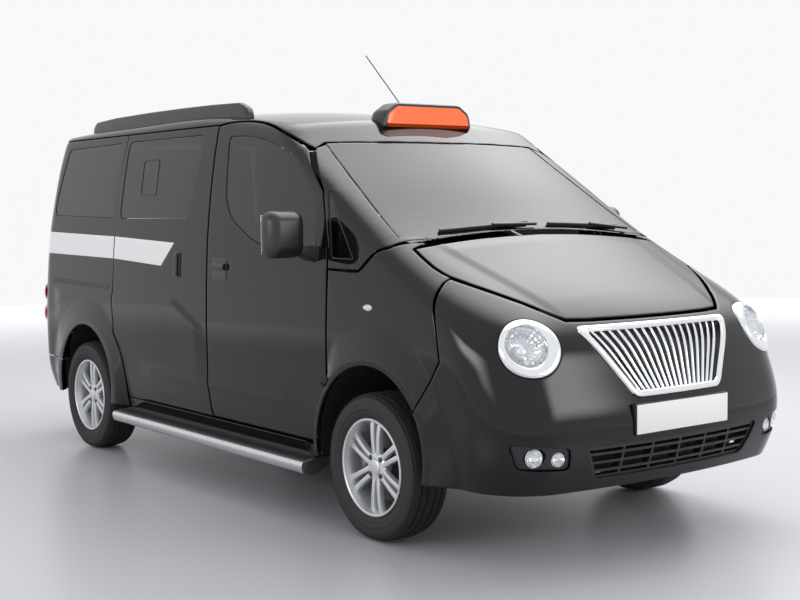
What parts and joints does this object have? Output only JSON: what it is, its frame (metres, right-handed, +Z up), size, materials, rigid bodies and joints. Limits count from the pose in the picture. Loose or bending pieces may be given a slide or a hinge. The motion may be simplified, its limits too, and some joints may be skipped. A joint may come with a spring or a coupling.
{
  "type": "taxi cab",
  "caption": "Compact van taxi cab with hinged front doors, fixed sliding side doors, lifting bonnet and tailgate, roof sign, steered front wheels and free road wheels.",
  "frame": {"origin": "on the ground below the middle of the car", "axes": "+X forward, +Y to the car's left, +Z up"},
  "size_m": [4.4185, 2.1, 2.1071],
  "materials": {
    "gloss_black_paint": "gloss",
    "tinted_glass": "gloss",
    "bright_chrome": "polished",
    "clear_lens": "gloss",
    "red_lens": "gloss",
    "black_plastic": "satin",
    "orange_lens": "gloss",
    "dark_steel": "satin",
    "engine_casting": "cast",
    "alloy": "satin",
    "tyre_rubber": "matte",
    "bright_step": "brushed",
    "seat_trim": "matte"
  },
  "bodies": {
    "chassis": {"front_wings": "gloss_black_paint", "a_pillars": "gloss_black_paint", "roof_panel": "gloss_black_paint", "sliding_doors": "gloss_black_paint", "rear_quarters": "gloss_black_paint", "rear_bumper": "gloss_black_paint", "sills": "gloss_black_paint", "front_fascia": "gloss_black_paint", "windscreen": "tinted_glass", "side_glass": "tinted_glass", "headlamp_bezels": "bright_chrome", "grille": "bright_chrome", "headlamp_lenses": "clear_lens", "fog_lamps": "clear_lens", "tail_lamps": "red_lens", "lower_intake": "black_plastic", "fog_panels": "black_plastic", "cowl": "black_plastic", "wheel_wells": "black_plastic", "roof_rails": "black_plastic", "roof_sign": "black_plastic", "aerial": "black_plastic", "dashboard": "black_plastic", "steering_wheel": "black_plastic", "sign_lens": "orange_lens", "hinge_posts": "dark_steel", "b_posts": "dark_steel", "bulkhead": "dark_steel", "floor_pan": "dark_steel", "tailgate_hinges": "dark_steel", "front_subframe": "dark_steel", "radiator": "dark_steel", "rear_axle": "dark_steel", "underbody": "dark_steel", "engine_block": "engine_casting", "side_steps": "bright_step", "front_seats": "seat_trim", "rear_bench": "seat_trim"},
    "left_door": {"front_door_left": "gloss_black_paint", "door_glass_left": "tinted_glass", "mirror_left": "black_plastic"},
    "right_door": {"front_door_right": "gloss_black_paint", "door_glass_right": "tinted_glass", "mirror_right": "black_plastic"},
    "bonnet_lid": {"bonnet": "gloss_black_paint"},
    "tailgate_lid": {"tailgate": "gloss_black_paint", "tailgate_glass": "tinted_glass"},
    "left_knuckle": {"knuckle_left": "dark_steel"},
    "right_knuckle": {"knuckle_right": "dark_steel"},
    "wheel_fl": {"wheel_front_left": "alloy", "tyre_front_left": "tyre_rubber"},
    "wheel_fr": {"wheel_front_right": "alloy", "tyre_front_right": "tyre_rubber"},
    "wheel_rl": {"wheel_rear_left": "alloy", "tyre_rear_left": "tyre_rubber"},
    "wheel_rr": {"wheel_rear_right": "alloy", "tyre_rear_right": "tyre_rubber"}
  },
  "joints": [
    {"name": "left_door_hinge", "type": "hinge", "parent": "chassis", "child": "left_door", "pos_m": [0.885, 0.808, 0.83], "axis": [0, 0, -1], "range_deg": [0, 65]},
    {"name": "right_door_hinge", "type": "hinge", "parent": "chassis", "child": "right_door", "pos_m": [0.885, -0.808, 0.83], "axis": [0, 0, 1], "range_deg": [0, 65]},
    {"name": "bonnet_hinge", "type": "hinge", "parent": "chassis", "child": "bonnet_lid", "pos_m": [1.404, 0, 1.205], "axis": [0, -1, 0], "range_deg": [0, 45]},
    {"name": "tailgate_hinge", "type": "hinge", "parent": "chassis", "child": "tailgate_lid", "pos_m": [-2.05, 0, 1.675], "axis": [0, 1, 0], "range_deg": [0, 80]},
    {"name": "left_steer", "type": "hinge", "parent": "chassis", "child": "left_knuckle", "pos_m": [1.292, 0.69, 0.301], "axis": [0, 0, 1], "range_deg": [-35, 35]},
    {"name": "right_steer", "type": "hinge", "parent": "chassis", "child": "right_knuckle", "pos_m": [1.292, -0.69, 0.301], "axis": [0, 0, 1], "range_deg": [-35, 35]},
    {"name": "front_left_spin", "type": "hinge", "parent": "left_knuckle", "child": "wheel_fl", "pos_m": [1.292, 0.745, 0.301], "axis": [0, 1, 0], "continuous": true},
    {"name": "front_right_spin", "type": "hinge", "parent": "right_knuckle", "child": "wheel_fr", "pos_m": [1.292, -0.745, 0.301], "axis": [0, 1, 0], "continuous": true},
    {"name": "rear_left_spin", "type": "hinge", "parent": "chassis", "child": "wheel_rl", "pos_m": [-1.433, 0.745, 0.301], "axis": [0, 1, 0], "continuous": true},
    {"name": "rear_right_spin", "type": "hinge", "parent": "chassis", "child": "wheel_rr", "pos_m": [-1.433, -0.745, 0.301], "axis": [0, 1, 0], "continuous": true}
  ],
  "couplings": [
    {"joint": "right_steer", "follows": "left_steer", "ratio": 1}
  ]
}
